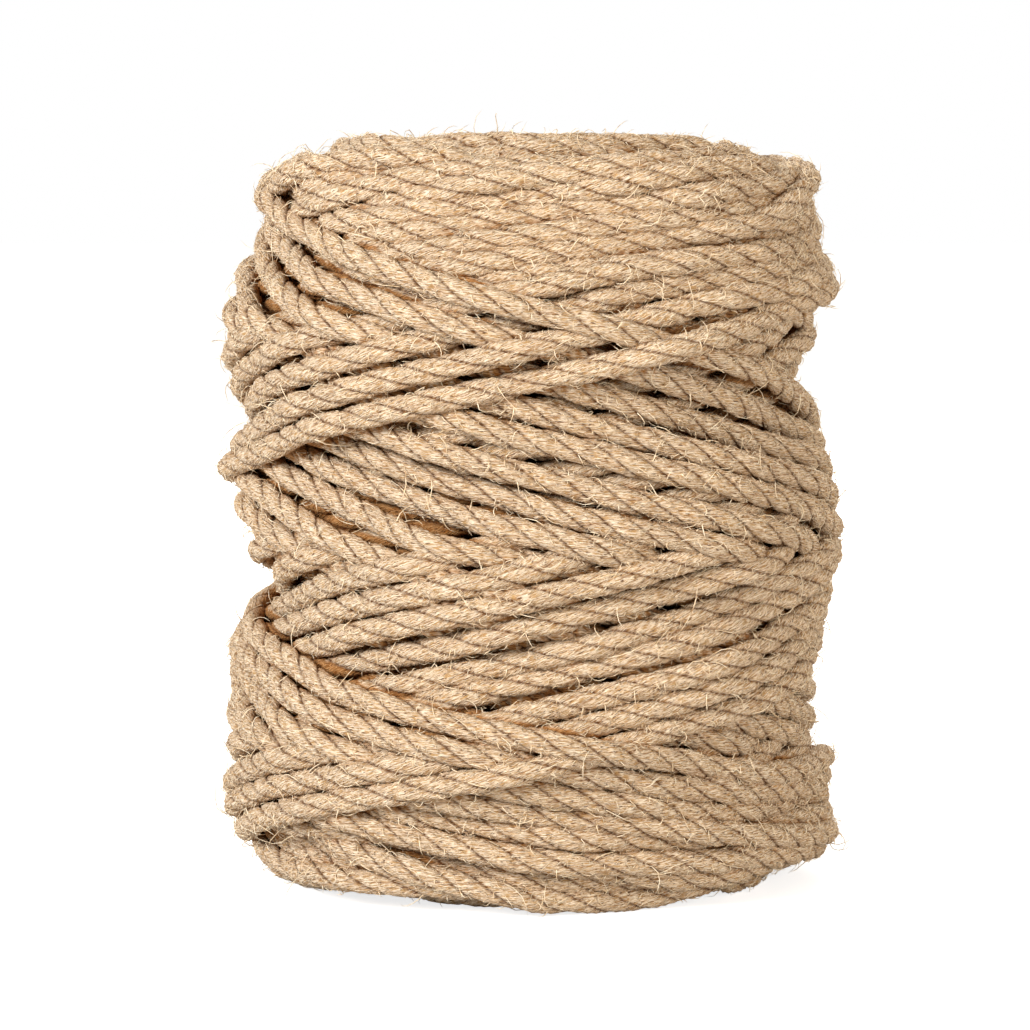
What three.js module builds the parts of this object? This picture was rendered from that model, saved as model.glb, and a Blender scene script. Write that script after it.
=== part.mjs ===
// A roll of three-strand jute rope, cross-wound on a mandrel that has been drawn out again.
// It stands on one end. Millimetres, +Z up, the winding axis is Z, and the front faces -Y.
// One solid holds the wound form: the rim outline, the open bore, and the broad crossed bands
// that the rope lays down as it climbs and falls round the roll. Single turns are not shaped.

import * as THREE from "three";

const BORE_RADIUS = 20;
const ROLL_HEIGHT = 167;
const ROLL_RADIUS = 69.6;
const FOOT_RADIUS = 53;
const BORE_LIP = 4;

// The guide moves the rope up and down once in this many turns, so that each course crosses
// the others at the same heights all round.
const TURNS_PER_CYCLE = 4;
const UPPER_REACH = 83;
const LOWER_REACH = 78;
const GUIDE_MIDDLE = 81;
// 1 would make the guide turn back in a sharp point, and 0 would make it swing like a pendulum.
const GUIDE_SHARPNESS = 0.985;
// Height at which the last course passes the front on its way down.
const LAST_COURSE_HEIGHT = 129.6;

// The oldest ground lies this far below the newest courses.
const BAND_RELIEF = 15;
// Share of a band over which its newest edge slumps down to the oldest ground beside it.
const BAND_EDGE = 0.13;
const RELIEF_FADE = 14;

const AROUND = 72;
const SIDE_ROWS = 40;
const END_ROWS = 4;
const BORE_ROWS = 5;
// 1 spaces the side's rows evenly, and 0 crowds them at the foot and the crown.
const ROW_EVENNESS = 0.4;

const JUTE_COLOUR = 0xcda87c;
const JUTE_ROUGHNESS = 0.9;

// The outline of the side, foot to crown: share of the height, and share of the radius.
const OUTLINE = [
  { height: 0.0, radius: 0.765 },
  { height: 0.012, radius: 0.845 },
  { height: 0.04, radius: 0.905 },
  { height: 0.09, radius: 0.94 },
  { height: 0.18, radius: 0.968 },
  { height: 0.32, radius: 0.99 },
  { height: 0.5, radius: 1.0 },
  { height: 0.72, radius: 1.0 },
  { height: 0.85, radius: 0.985 },
  { height: 0.91, radius: 0.955 },
  { height: 0.95, radius: 0.895 },
  { height: 0.978, radius: 0.79 },
  { height: 0.993, radius: 0.66 },
  { height: 1.0, radius: 0.53 },
];

// How far the rim drops where the last courses turn back over it.
const RIM_DIPS = [
  { azimuth: -62, spread: 38, drop: 3.2 },
  { azimuth: 70, spread: 30, drop: 2.2 },
  { azimuth: 165, spread: 45, drop: 2.6 },
];

const TURN = 2 * Math.PI;

// The part of a number after the point, from 0 to 1.
function fraction(value) {
  return value - Math.floor(value);
}

// The guide's phase, from 0 at the top to pi at the bottom, as it passes a height going down.
function fallingPhase(height) {
  const above = height - GUIDE_MIDDLE;
  const reach = above > 0 ? UPPER_REACH : LOWER_REACH;
  const share = THREE.MathUtils.clamp(above / reach, -1, 1);
  const lift = Math.sin(share * Math.asin(GUIDE_SHARPNESS)) / GUIDE_SHARPNESS;
  return Math.acos(THREE.MathUtils.clamp(lift, -1, 1));
}

// How long ago a course with this phase passed this azimuth: 0 for the last course, and
// nearly 1 for the oldest ground still bare, from where the age runs back down a band's edge.
function age(phase, azimuth) {
  const lastAtFront = TURNS_PER_CYCLE * fallingPhase(LAST_COURSE_HEIGHT);
  const laps = fraction((TURNS_PER_CYCLE * phase - azimuth - lastAtFront) / TURN);
  return Math.min(laps, ((1 - laps) * (1 - BAND_EDGE)) / BAND_EDGE);
}

// How far the surface lies below the outline, because newer courses cover older ones.
function relief(azimuth, height) {
  const down = fallingPhase(height);
  const newest = Math.min(age(down, azimuth), age(TURN - down, azimuth));
  const nearEnd = Math.min(height, ROLL_HEIGHT - height) / RELIEF_FADE;
  return THREE.MathUtils.clamp(nearEnd, 0, 1) * BAND_RELIEF * newest;
}

function rimDrop(azimuth) {
  return RIM_DIPS.reduce((total, dip) => {
    const away = THREE.MathUtils.radToDeg(azimuth) - dip.azimuth;
    const turned = away - 360 * Math.round(away / 360);
    return total + dip.drop * Math.exp(-((turned / dip.spread) ** 2));
  }, 0);
}

// The outline's radius at a share of the height.
function outlineRadius(share) {
  const next = OUTLINE.findIndex((row) => row.height >= share && row.height > 0);
  const above = OUTLINE[next];
  const below = OUTLINE[next - 1];
  const t = (share - below.height) / (above.height - below.height);
  return ROLL_RADIUS * THREE.MathUtils.lerp(below.radius, above.radius, t);
}

// The closed section through one side of the roll: foot, side, crown and bore.
function section() {
  const points = [];
  const footInner = BORE_RADIUS + BORE_LIP;
  for (let i = 0; i < END_ROWS; i += 1) {
    points.push(new THREE.Vector2(THREE.MathUtils.lerp(footInner, FOOT_RADIUS, i / END_ROWS), 0));
  }
  for (let i = 0; i <= SIDE_ROWS; i += 1) {
    const crowded = 0.5 - 0.5 * Math.cos((Math.PI * i) / SIDE_ROWS);
    const share = THREE.MathUtils.lerp(crowded, i / SIDE_ROWS, ROW_EVENNESS);
    points.push(new THREE.Vector2(outlineRadius(share), ROLL_HEIGHT * share));
  }
  const crownRadius = points[points.length - 1].x;
  for (let i = 1; i <= END_ROWS; i += 1) {
    const radius = THREE.MathUtils.lerp(crownRadius, footInner, i / END_ROWS);
    points.push(new THREE.Vector2(radius, ROLL_HEIGHT));
  }
  for (let i = 0; i <= BORE_ROWS; i += 1) {
    const height = THREE.MathUtils.lerp(ROLL_HEIGHT - BORE_LIP, BORE_LIP, i / BORE_ROWS);
    points.push(new THREE.Vector2(BORE_RADIUS, height));
  }
  points.push(points[0].clone());
  return points;
}

// Turns the section round the axis, then lowers each point to the band that covers it.
function woundForm() {
  const form = new THREE.LatheGeometry(section(), AROUND);
  form.rotateX(Math.PI / 2);
  const position = form.getAttribute("position");
  for (let i = 0; i < position.count; i += 1) {
    const x = position.getX(i);
    const y = position.getY(i);
    const z = position.getZ(i);
    const radius = Math.hypot(x, y);
    const azimuth = Math.atan2(x, -y);
    const outside = THREE.MathUtils.smoothstep(radius, BORE_RADIUS + 2 * BORE_LIP, FOOT_RADIUS);
    const newRadius = radius - outside * relief(azimuth, z);
    const above = THREE.MathUtils.smoothstep(z, ROLL_HEIGHT / 2, ROLL_HEIGHT);
    position.setXYZ(
      i,
      newRadius * Math.sin(azimuth),
      -newRadius * Math.cos(azimuth),
      z - above * outside * rimDrop(azimuth),
    );
  }
  form.computeBoundingBox();
  const middle = form.boundingBox.getCenter(new THREE.Vector3());
  form.translate(-middle.x, -middle.y, 0);
  form.computeVertexNormals();
  return form;
}

function juteMaterial() {
  return new THREE.MeshStandardMaterial({
    color: JUTE_COLOUR,
    roughness: JUTE_ROUGHNESS,
    metalness: 0,
  });
}

const rollOfJuteRope = new THREE.Group();
const roll = new THREE.Mesh(woundForm(), juteMaterial());
roll.name = "wound_rope";
rollOfJuteRope.add(roll);

export default rollOfJuteRope;
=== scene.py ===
"""The looks of a roll of three-strand jute rope, cross-wound on a mandrel that was drawn out again.

The rope is wound turn by turn. A guide carries it up and down while the roll turns, and each course settles
on the ones below it. Only the stretches that can be seen are made, as a three-strand rope with loose hairs.
Lengths are millimetres until a mesh is made. Azimuth 0 is the front, -Y, and 90 degrees is the right, +X.
"""

import logging
import math
from dataclasses import dataclass, field
from enum import Enum

import bpy
import numpy as np
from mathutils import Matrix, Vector


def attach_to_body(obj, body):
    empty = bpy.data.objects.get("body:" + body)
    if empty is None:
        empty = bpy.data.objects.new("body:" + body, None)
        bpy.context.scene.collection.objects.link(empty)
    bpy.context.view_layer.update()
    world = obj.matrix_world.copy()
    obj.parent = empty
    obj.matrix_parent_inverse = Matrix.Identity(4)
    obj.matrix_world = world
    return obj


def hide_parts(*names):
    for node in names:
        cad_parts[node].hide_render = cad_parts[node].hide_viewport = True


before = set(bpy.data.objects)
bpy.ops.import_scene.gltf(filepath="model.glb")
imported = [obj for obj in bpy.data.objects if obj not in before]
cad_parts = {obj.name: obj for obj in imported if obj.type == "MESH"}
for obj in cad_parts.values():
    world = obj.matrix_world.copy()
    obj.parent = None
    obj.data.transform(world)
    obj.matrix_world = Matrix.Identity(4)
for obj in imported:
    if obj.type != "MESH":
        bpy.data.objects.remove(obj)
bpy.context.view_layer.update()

log = logging.getLogger("jute_roll")

METRES_IN_MILLIMETRE = 0.001
FULL_TURN = 2 * math.pi
COLUMNS = 360
COLUMN_STEP = FULL_TURN / COLUMNS
CAD_NODE = "wound_rope"
CAD_BODY = "root"
# Lower than any level, for places where a rope doesn't reach.
NO_CONTACT = -1e9
NOTHING_NEAR = -1000.0
# A direction that no hair follows, from which its section is set out.
ODD_DIRECTION = np.array([0.31, 0.52, 0.79])

Colour = tuple[float, float, float, float]
Place = tuple[float, float, float]


def along_table(table: tuple[tuple[float, float], ...], at: np.ndarray | float) -> np.ndarray:
    """Reads a table of pairs between its rows.

    Args:
        table: Pairs of a place and the value there, in rising order of place.
        at: The places to read.

    Returns:
        The values there.
    """
    places, values = zip(*table)
    return np.interp(at, places, values)


def smoothed(values: np.ndarray, reach: int) -> np.ndarray:
    """Averages a row of numbers with its neighbours.

    Args:
        values: The numbers.
        reach: How many neighbours on each side take part.

    Returns:
        As many numbers, smoother.
    """
    weights = np.hanning(2 * reach + 3)[1:-1]
    weights /= weights.sum()
    return np.convolve(np.pad(values, reach, mode="edge"), weights, "valid")


@dataclass(frozen=True)
class Section:
    """How finely a stretch of rope is shaped.

    The corners are degrees from the middle of a strand's back. The first lies in the groove before it.
    """

    corners: tuple[float, ...]
    ring_spacing: float


class Detail(Enum):
    """The two finenesses of the rope's shape: for what is seen from outside, and for the rest."""

    FINE = Section(corners=(-60.0, -49.0, -25.0, 0.0, 25.0, 49.0), ring_spacing=2.05)
    PLAIN = Section(corners=(-60.0, -36.0, 0.0, 36.0), ring_spacing=2.7)


@dataclass(frozen=True)
class Rope:
    """Three-strand jute rope, sold as 6 mm and pulled down a little by winding."""

    diameter: float = 5.7
    lay: float = 27.0
    strands: int = 3
    groove_depth: float = 0.72
    groove_sharpness: float = 4.5
    flattening: float = 0.96
    thickness_change: float = 0.05
    thickness_spacing: float = 6.0
    lay_change: float = 0.25
    lay_spacing: float = 30.0

    @property
    def radius(self) -> float:
        """Half of the rope's diameter."""
        return self.diameter / 2

    def outline(self, section: Section) -> tuple[np.ndarray, np.ndarray, np.ndarray]:
        """Works out the rope's outline for a section.

        Args:
            section: How finely the rope is shaped.

        Returns:
            For each corner, its angle round the rope, its distance from the middle, and how far it lies
            into the groove between two strands, from 0 on a strand's back to 1 in the groove.
        """
        within = np.tile(section.corners, self.strands)
        strand = np.repeat(np.arange(self.strands), len(section.corners))
        angle = np.radians(within) + strand * FULL_TURN / self.strands
        sunk = np.abs(within / section.corners[0]) ** self.groove_sharpness
        return angle, self.radius - self.groove_depth * sunk, sunk


@dataclass(frozen=True)
class Guide:
    """The guide that lays the rope to and fro, and how late the rope follows it."""

    turns_per_cycle: float = 3.93
    climb_per_radian: float = 14.29
    lag: float = 1.57
    bow: float = 5.5
    steepening: float = 5.0
    peak_samples: int = 400
    # Radius of the roll, and how high and how low the guide then carries the rope.
    upper_reach: tuple[tuple[float, float], ...] = (
        (37.0, 164.2),
        (48.0, 163.2),
        (54.0, 161.5),
        (60.0, 159.5),
        (63.0, 158.5),
        (66.0, 157.5),
        (69.0, 157.0),
    )
    lower_reach: tuple[tuple[float, float], ...] = (
        (48.0, 2.8),
        (54.0, 3.4),
        (60.0, 5.0),
        (63.0, 7.0),
        (66.0, 10.0),
        (69.0, 12.0),
    )

    @property
    def half_cycle(self) -> float:
        """Angle that the roll turns while the guide goes from one end to the other."""
        return math.pi * self.turns_per_cycle

    def share(self, turned: np.ndarray) -> np.ndarray:
        """Finds where in its stroke the guide lays the rope.

        Args:
            turned: Angle turned since the guide last came to its upper end.

        Returns:
            The place, from -1 at the low end of the stroke to 1 at the high end.
        """
        turned = np.mod(turned, 2 * self.half_cycle)
        falling = turned < self.half_cycle
        since = np.where(falling, turned, turned - self.half_cycle)
        drop = self._fall(since)
        peak = self._fall(np.linspace(0, self.half_cycle, self.peak_samples)).max()
        return np.where(falling, drop, -drop) / peak

    def _fall(self, since: np.ndarray) -> np.ndarray:
        """Works out how the rope falls after the guide has turned to go down.

        Args:
            since: Angle turned since then.

        Returns:
            The height over the middle of the stroke.
        """
        speed = self.climb_per_radian
        swing = 2 * speed * self.lag / (1 + math.exp(-self.half_cycle / self.lag))
        start = speed * self.half_cycle / 2 + speed * self.lag
        return start - speed * since - swing * np.exp(-since / self.lag)

    def height(self, turned: np.ndarray, radius: float) -> np.ndarray:
        """Finds the height at which the guide lays the rope.

        Args:
            turned: Angle turned since the guide last came to its upper end.
            radius: The roll's radius by then.

        Returns:
            The heights.
        """
        share = self.share(turned)
        top = along_table(self.upper_reach, radius)
        low = along_table(self.lower_reach, radius)
        sag = (self.bow + self.steepening * share) * (1 - share**2)
        return (top + low) / 2 + (top - low) / 2 * share - sag


@dataclass
class Path:
    """The line of the rope's middle: one sample for each degree that the roll turned."""

    radius: np.ndarray
    height: np.ndarray
    azimuth: np.ndarray

    @property
    def column(self) -> np.ndarray:
        """The whole degree of azimuth of each sample."""
        return np.mod(self.azimuth, COLUMNS).astype(int)

    def points(self) -> np.ndarray:
        """The samples as points."""
        turned = np.radians(self.azimuth)
        return np.stack([self.radius * np.sin(turned), -self.radius * np.cos(turned), self.height], 1)

    def distances(self) -> np.ndarray:
        """Length of rope before each sample."""
        steps = np.linalg.norm(np.diff(self.points(), axis=0), axis=1)
        return np.concatenate([[0.0], np.cumsum(steps)])


@dataclass
class Winder:
    """Winds the rope: each stretch slips to the easiest place near the guide and is drawn taut there."""

    guide: Guide
    bore_radius: float = 20.0
    cycles: float = 41.4
    # Angle turned since the guide's upper end when the last course passes the front.
    front_angle: float = 5.10
    degrees_past_front: int = 150
    # The last cycles repeat evenly. Before them the guide's speed wanders by this share.
    even_cycles: float = 16.0
    speed_wander: float = 0.12
    wander_turns: float = 2.399
    height_wander: float = 0.5
    wander_spacing: int = 90
    wander_smoothing: int = 30
    # Cycles over which the early way of winding gives over to the late one.
    easing_cycles: float = 2.0
    # Two courses are this far apart, centre to centre, one on the other and side by side.
    stack_middle: float = 3.9
    stack_ends: float = 4.3
    stack_early: float = 5.3
    beside_middle: float = 4.6
    beside_ends: float = 4.2
    # A course that would stand out this far over the mean is pressed in by the rest.
    crest: float = 5.0
    crest_share: float = 0.82
    # The first layer's radius over the mandrel, and how quickly the mean radius is followed.
    first_layer: float = 2.5
    radius_gain: float = 0.04
    measured_heights: tuple[float, float] = (50.0, 112.0)
    measured_every: int = 4
    middle_height: float = 81.2
    ends_begin: float = 38.0
    ends_full: float = 66.0
    # What it costs the rope to slip from the guide's height, and to bend sideways.
    slip_cost_middle: float = 1.5
    slip_cost_ends: float = 0.1
    bend_cost: float = 8.0
    shoulder_cost: float = 0.8
    shoulder_outside: float = 4.0
    jump_cost: float = 300.0
    past_end_cost: float = 50.0
    # Distances from the middle height over which the costs at the ends set in.
    end_costs_begin: float = 50.0
    end_costs_spread: float = 20.0
    slip_reach: float = 9.0
    slip_smoothing: int = 8
    felt_columns: tuple[int, ...] = (-2, 0, 2)
    taut_smoothing: int = 3
    lowest: float = 2.7
    highest: float = 164.4
    end_slack: float = 0.3
    cell: float = 0.6
    base: float = -4.0
    crown: float = 174.0
    batch: int = 60
    look: int = 50
    knot_spacing: int = 5
    seed: int = 7
    # Height, and how far the shoulder there lies inside the roll's middle radius.
    shoulder_drop: tuple[tuple[float, float], ...] = (
        (2.7, 13.5),
        (6.0, 9.5),
        (10.0, 7.8),
        (15.0, 6.5),
        (24.0, 4.5),
        (36.0, 3.0),
        (60.0, 2.0),
        (110.0, 2.0),
        (135.0, 3.0),
        (146.0, 5.0),
        (150.0, 6.5),
        (154.0, 9.0),
        (157.0, 12.0),
        (160.0, 16.0),
        (164.4, 28.0),
    )
    # Height, and the radius below which the shoulder there holds nothing back.
    shoulder_free: tuple[tuple[float, float], ...] = (
        (2.7, 50.0),
        (9.0, 62.0),
        (159.0, 56.0),
        (162.0, 46.0),
        (164.4, 36.0),
    )
    surface: np.ndarray = field(init=False)

    def __post_init__(self) -> None:
        """Starts with the bare mandrel."""
        rows = int(round((self.crown - self.base) / self.cell)) + 1
        self.surface = np.full((COLUMNS, rows), self.bore_radius)
        self.half_rows = int(math.ceil(self.beside_middle / self.cell))
        self.offsets = np.arange(-self.half_rows, self.half_rows + 1)

    def _towards_ends(self, height: np.ndarray, middle: float, ends: float) -> np.ndarray:
        """A value that goes from one figure at the middle to another at the ends."""
        away = np.abs(height - self.middle_height)
        return np.interp(away, [self.ends_begin, self.ends_full], [middle, ends])

    def _contact(self, away: np.ndarray, height: np.ndarray, lateness: float) -> np.ndarray:
        """Works out how far a course keeps the next one off.

        Args:
            away: Sideways distances from the course's middle.
            height: The course's height.
            lateness: 0 in the early cycles and 1 in the last ones.

        Returns:
            The distances outward, far below zero where the two don't meet.
        """
        late = self._towards_ends(height, self.stack_middle, self.stack_ends)
        stack = late + (self.stack_early - late) * (1 - lateness)
        beside = self._towards_ends(height, self.beside_middle, self.beside_ends)
        across = away / (beside[..., None] / 2)
        rise = 0.5 * stack[..., None] * np.sqrt(np.clip(1 - across**2, 0, None))
        return np.where(np.abs(across) < 1, rise, NO_CONTACT)

    def _shoulder(self, height: np.ndarray, radius: float) -> np.ndarray:
        """Finds the largest radius wanted at a height.

        Args:
            height: The heights.
            radius: The roll's mean radius so far.

        Returns:
            The radii.
        """
        outer = radius + self.shoulder_outside
        free = np.minimum(along_table(self.shoulder_free, height), outer)
        return np.maximum(outer - along_table(self.shoulder_drop, height), free)

    def _slip(
        self, column: np.ndarray, laid: np.ndarray, radius: float, before: float, lateness: float
    ) -> np.ndarray:
        """Chooses how far each sample slips from the height at which it was laid.

        Args:
            column: Azimuth column of each sample.
            laid: Height at which the guide lays it.
            radius: The roll's mean radius so far.
            before: How far the sample before these slipped.
            lateness: 0 in the early cycles and 1 in the last ones.

        Returns:
            The slips.
        """
        knots = np.arange(0, len(laid), self.knot_spacing)
        reach = int(round(self.slip_reach / self.cell))
        tries = np.arange(-reach, reach + 1)
        wanted = laid[knots]
        row = np.round((wanted - self.base) / self.cell).astype(int)[:, None] + tries[None, :]
        row = np.clip(row, self.half_rows, self.surface.shape[1] - 1 - self.half_rows)
        height = self.base + self.cell * row
        support = np.zeros(height.shape)
        away = self.offsets[None, None, :] * self.cell
        for near in self.felt_columns:
            felt = ((column[knots] + near) % COLUMNS)[:, None, None]
            beneath = self.surface[felt, row[:, :, None] + self.offsets[None, None, :]]
            contact = self._contact(away, height, lateness)
            support += (beneath + contact).max(axis=2) / len(self.felt_columns)
        slip = height - wanted[:, None]
        past_middle = np.abs(wanted - self.middle_height) - self.end_costs_begin
        ends = np.clip(past_middle / self.end_costs_spread, 0, 1)[:, None]
        slip_cost = self.slip_cost_middle + (self.slip_cost_ends - self.slip_cost_middle) * ends
        proud = np.clip(support - self._shoulder(height, radius), 0, None)
        cost = support + slip_cost * slip**2 + self.shoulder_cost * ends * proud**2
        cost += self.past_end_cost * np.clip(height - self.highest, 0, None)
        cost += self.past_end_cost * np.clip(self.lowest - height, 0, None)
        return self._easiest(cost, slip, before, tries, knots, len(laid))

    def _easiest(
        self,
        cost: np.ndarray,
        slip: np.ndarray,
        before: float,
        tries: np.ndarray,
        knots: np.ndarray,
        count: int,
    ) -> np.ndarray:
        """Finds the cheapest row of slips that doesn't bend too sharply.

        Args:
            cost: What each slip costs at each knot.
            slip: The slips that were tried there.
            before: The slip of the sample before.
            tries: The slips in cells.
            knots: Which samples the knots are.
            count: How many samples there are.

        Returns:
            A slip for each sample.
        """
        bend = self.bend_cost * ((tries[:, None] - tries[None, :]) * self.cell) ** 2
        total = self.jump_cost * (slip[0] - before) ** 2
        origins = []
        for row in cost[1:]:
            both = total[None, :] + bend
            origins.append(both.argmin(axis=1))
            total = both.min(axis=1) + row
        choice = [int(total.argmin())]
        for origin in reversed(origins):
            choice.append(int(origin[choice[-1]]))
        chosen = slip[np.arange(len(knots)), choice[::-1]]
        return np.interp(np.arange(count), knots, chosen)

    @staticmethod
    def _taut(radius: np.ndarray) -> np.ndarray:
        """Draws a stretch taut, so that it bridges the hollows below it.

        Args:
            radius: What holds the rope up, one figure for each degree of turning.

        Returns:
            The rope's own radius there.
        """
        turned = np.arange(len(radius)) * COLUMN_STEP
        x = (radius * np.cos(turned)).tolist()
        y = (radius * np.sin(turned)).tolist()
        kept: list[int] = []
        for i in range(len(x)):
            while len(kept) > 1:
                a, b = kept[-2], kept[-1]
                if (x[b] - x[a]) * (y[i] - y[a]) > (y[b] - y[a]) * (x[i] - x[a]):
                    break
                kept.pop()
            kept.append(i)
        ends = np.array(kept)
        part = np.clip(np.searchsorted(ends, np.arange(len(x)), side="right") - 1, 0, len(ends) - 2)
        a, b = ends[part], ends[part + 1]
        xs, ys = np.array(x), np.array(y)
        cross = xs[a] * ys[b] - ys[a] * xs[b]
        return cross / (np.cos(turned) * (ys[b] - ys[a]) - np.sin(turned) * (xs[b] - xs[a]))

    def wind(self) -> Path:
        """Winds the whole rope.

        Returns:
            The rope's path from its inner end to its outer end.
        """
        rng = np.random.default_rng(self.seed)
        per_cycle = self.guide.turns_per_cycle * COLUMNS
        count = int(round(self.cycles * per_cycle))
        sample = np.arange(count)
        front = count - 1 - self.degrees_past_front
        azimuth = (front - sample).astype(float)
        column = np.mod(front - sample, COLUMNS)
        cycles_back = (front - sample) / per_cycle
        uneven = np.clip((cycles_back - self.even_cycles) / self.easing_cycles, 0, 1)
        speed = 1 + self.speed_wander * np.sin(cycles_back * self.wander_turns) * uneven
        turned = np.cumsum(speed) * COLUMN_STEP
        turned += self.front_angle - turned[front]
        knots = rng.normal(0, self.height_wander, count // self.wander_spacing + 4)
        wander = np.interp(sample / self.wander_spacing, np.arange(len(knots)), knots)
        wander = smoothed(wander, self.wander_smoothing)

        radius, height, slips = np.zeros(count), np.zeros(count), np.zeros(count)
        first_row, after_row = (int((level - self.base) / self.cell) for level in self.measured_heights)
        mean_radius = self.bore_radius + self.first_layer
        slip_before = 0.0
        for start in range(0, count, self.batch):
            laid_now = min(self.batch, count - start)
            span = slice(start, min(start + laid_now + self.look, count))
            back = min(self.look, start)
            early = self.even_cycles + self.easing_cycles
            lateness = float(np.clip((early - cycles_back[start]) / self.easing_cycles, 0, 1))
            laid = self.guide.height(turned[span], mean_radius) + wander[span]
            slip = self._slip(column[span], laid, mean_radius, slip_before, lateness)
            slip = smoothed(np.concatenate([slips[start - back : start], slip]), self.slip_smoothing)[back:]
            place = np.clip(laid + slip, self.lowest - self.end_slack, self.highest + self.end_slack)
            row = np.round((place - self.base) / self.cell).astype(int)
            row = np.clip(row, self.half_rows, self.surface.shape[1] - 1 - self.half_rows)
            away = self.offsets[None, :] * self.cell - (place - self.base - row * self.cell)[:, None]
            contact = self._contact(away, place, lateness)
            rows = row[:, None] + self.offsets[None, :]
            support = (self.surface[column[span][:, None], rows] + contact).max(axis=1)
            support = np.maximum(support, self.bore_radius + self.stack_middle / 2)
            crest = mean_radius + self.crest
            pressed = crest + (1 - (1 - self.crest_share) * lateness) * (support - crest)
            support = np.where(support > crest, pressed, support)
            taut = self._taut(np.concatenate([radius[start - back : start], support]))
            taut = smoothed(taut, self.taut_smoothing)
            now = slice(start, start + laid_now)
            radius[now] = taut[back : back + laid_now]
            height[now] = place[:laid_now]
            slips[now] = slip[:laid_now]
            slip_before = slip[min(laid_now, len(slip) - 1)]
            self._deposit(column[now], rows[:laid_now], radius[now][:, None] + contact[:laid_now])
            measured = self.surface[:: self.measured_every, first_row:after_row].mean()
            mean_radius += self.radius_gain * (measured - mean_radius)
        return Path(radius, height, azimuth)

    def _deposit(self, column: np.ndarray, rows: np.ndarray, reach: np.ndarray) -> None:
        """Adds a laid stretch to the surface."""
        self.surface[column[:, None], rows] = np.maximum(self.surface[column[:, None], rows], reach)


class Side(Enum):
    """The four sides from which the wound rope can be seen."""

    OUTSIDE = "outside"
    BORE = "bore"
    CROWN = "crown"
    FOOT = "foot"

    def coordinates(self, radius: np.ndarray, height: np.ndarray) -> tuple[np.ndarray, np.ndarray]:
        """Splits places into how far across this side they lie, and how near they come to the onlooker.

        Args:
            radius: Distances from the roll's axis.
            height: Heights.

        Returns:
            The places across the side and the levels towards the onlooker.
        """
        if self is Side.OUTSIDE:
            return height, radius
        if self is Side.BORE:
            return height, -radius
        if self is Side.CROWN:
            return radius, height
        return radius, -height


@dataclass
class Sight:
    """What can be seen from one side: the nearest level for each column and each place across it."""

    side: Side
    rope: Rope
    cell: float = 0.35
    low: float = -6.0
    high: float = 176.0
    nearest: np.ndarray = field(init=False)

    def __post_init__(self) -> None:
        """Starts with nothing in sight."""
        self.nearest = np.full((COLUMNS, int((self.high - self.low) / self.cell) + 1), NOTHING_NEAR)

    def _tops(self, path: Path) -> tuple[np.ndarray, np.ndarray]:
        """Finds the cells that each sample's section covers.

        Args:
            path: The rope's path.

        Returns:
            The cells of each sample, and its level in each of them.
        """
        across, level = self.side.coordinates(path.radius, path.height)
        half = int(math.ceil(self.rope.radius / self.cell))
        offsets = np.arange(-half, half + 1)
        exact = (across - self.low) / self.cell
        cell = np.clip(np.round(exact).astype(int), half, self.nearest.shape[1] - 1 - half)
        away = (offsets[None, :] - (exact - cell)[:, None]) * self.cell
        bulge = np.sqrt(np.clip(self.rope.radius**2 - away**2, 0, None))
        tops = np.where(np.abs(away) < self.rope.radius, level[:, None] + bulge, NOTHING_NEAR)
        return cell[:, None] + offsets[None, :], tops

    def look_at(self, path: Path) -> None:
        """Finds what is nearest everywhere.

        Args:
            path: The rope's path.
        """
        cells, tops = self._tops(path)
        column = path.column
        for start in range(0, len(column), COLUMNS):
            turn = slice(start, start + COLUMNS)
            place = (column[turn][:, None], cells[turn])
            self.nearest[place] = np.maximum(self.nearest[place], tops[turn])

    def shows(self, path: Path, depth: float) -> np.ndarray:
        """Tells which samples come to within a depth of what is nearest.

        Args:
            path: The rope's path.
            depth: How far below the nearest level still counts as seen.

        Returns:
            True for each sample that shows.
        """
        cells, tops = self._tops(path)
        return (tops - self.nearest[path.column[:, None], cells]).max(axis=1) > -depth

    def depth_of(self, points: np.ndarray) -> np.ndarray:
        """Measures how far below the nearest level each point lies.

        Args:
            points: The points.

        Returns:
            Their depths.
        """
        radius = np.hypot(points[:, 0], points[:, 1])
        column = np.mod(np.degrees(np.arctan2(points[:, 0], -points[:, 1])), COLUMNS)
        across, level = self.side.coordinates(radius, points[:, 2])
        cell = np.clip((across - self.low) / self.cell, 0, self.nearest.shape[1] - 1)
        return self.nearest[column.astype(int) % COLUMNS, np.round(cell).astype(int)] - level


@dataclass
class Shape:
    """The surface of some stretches of rope, ready to become a mesh."""

    points: list[np.ndarray] = field(default_factory=list)
    middles: list[np.ndarray] = field(default_factory=list)
    tangents: list[np.ndarray] = field(default_factory=list)
    faces: list[np.ndarray] = field(default_factory=list)
    fibre_places: list[np.ndarray] = field(default_factory=list)
    marks: list[np.ndarray] = field(default_factory=list)
    size: int = 0
    triangles: int = 0


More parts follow.
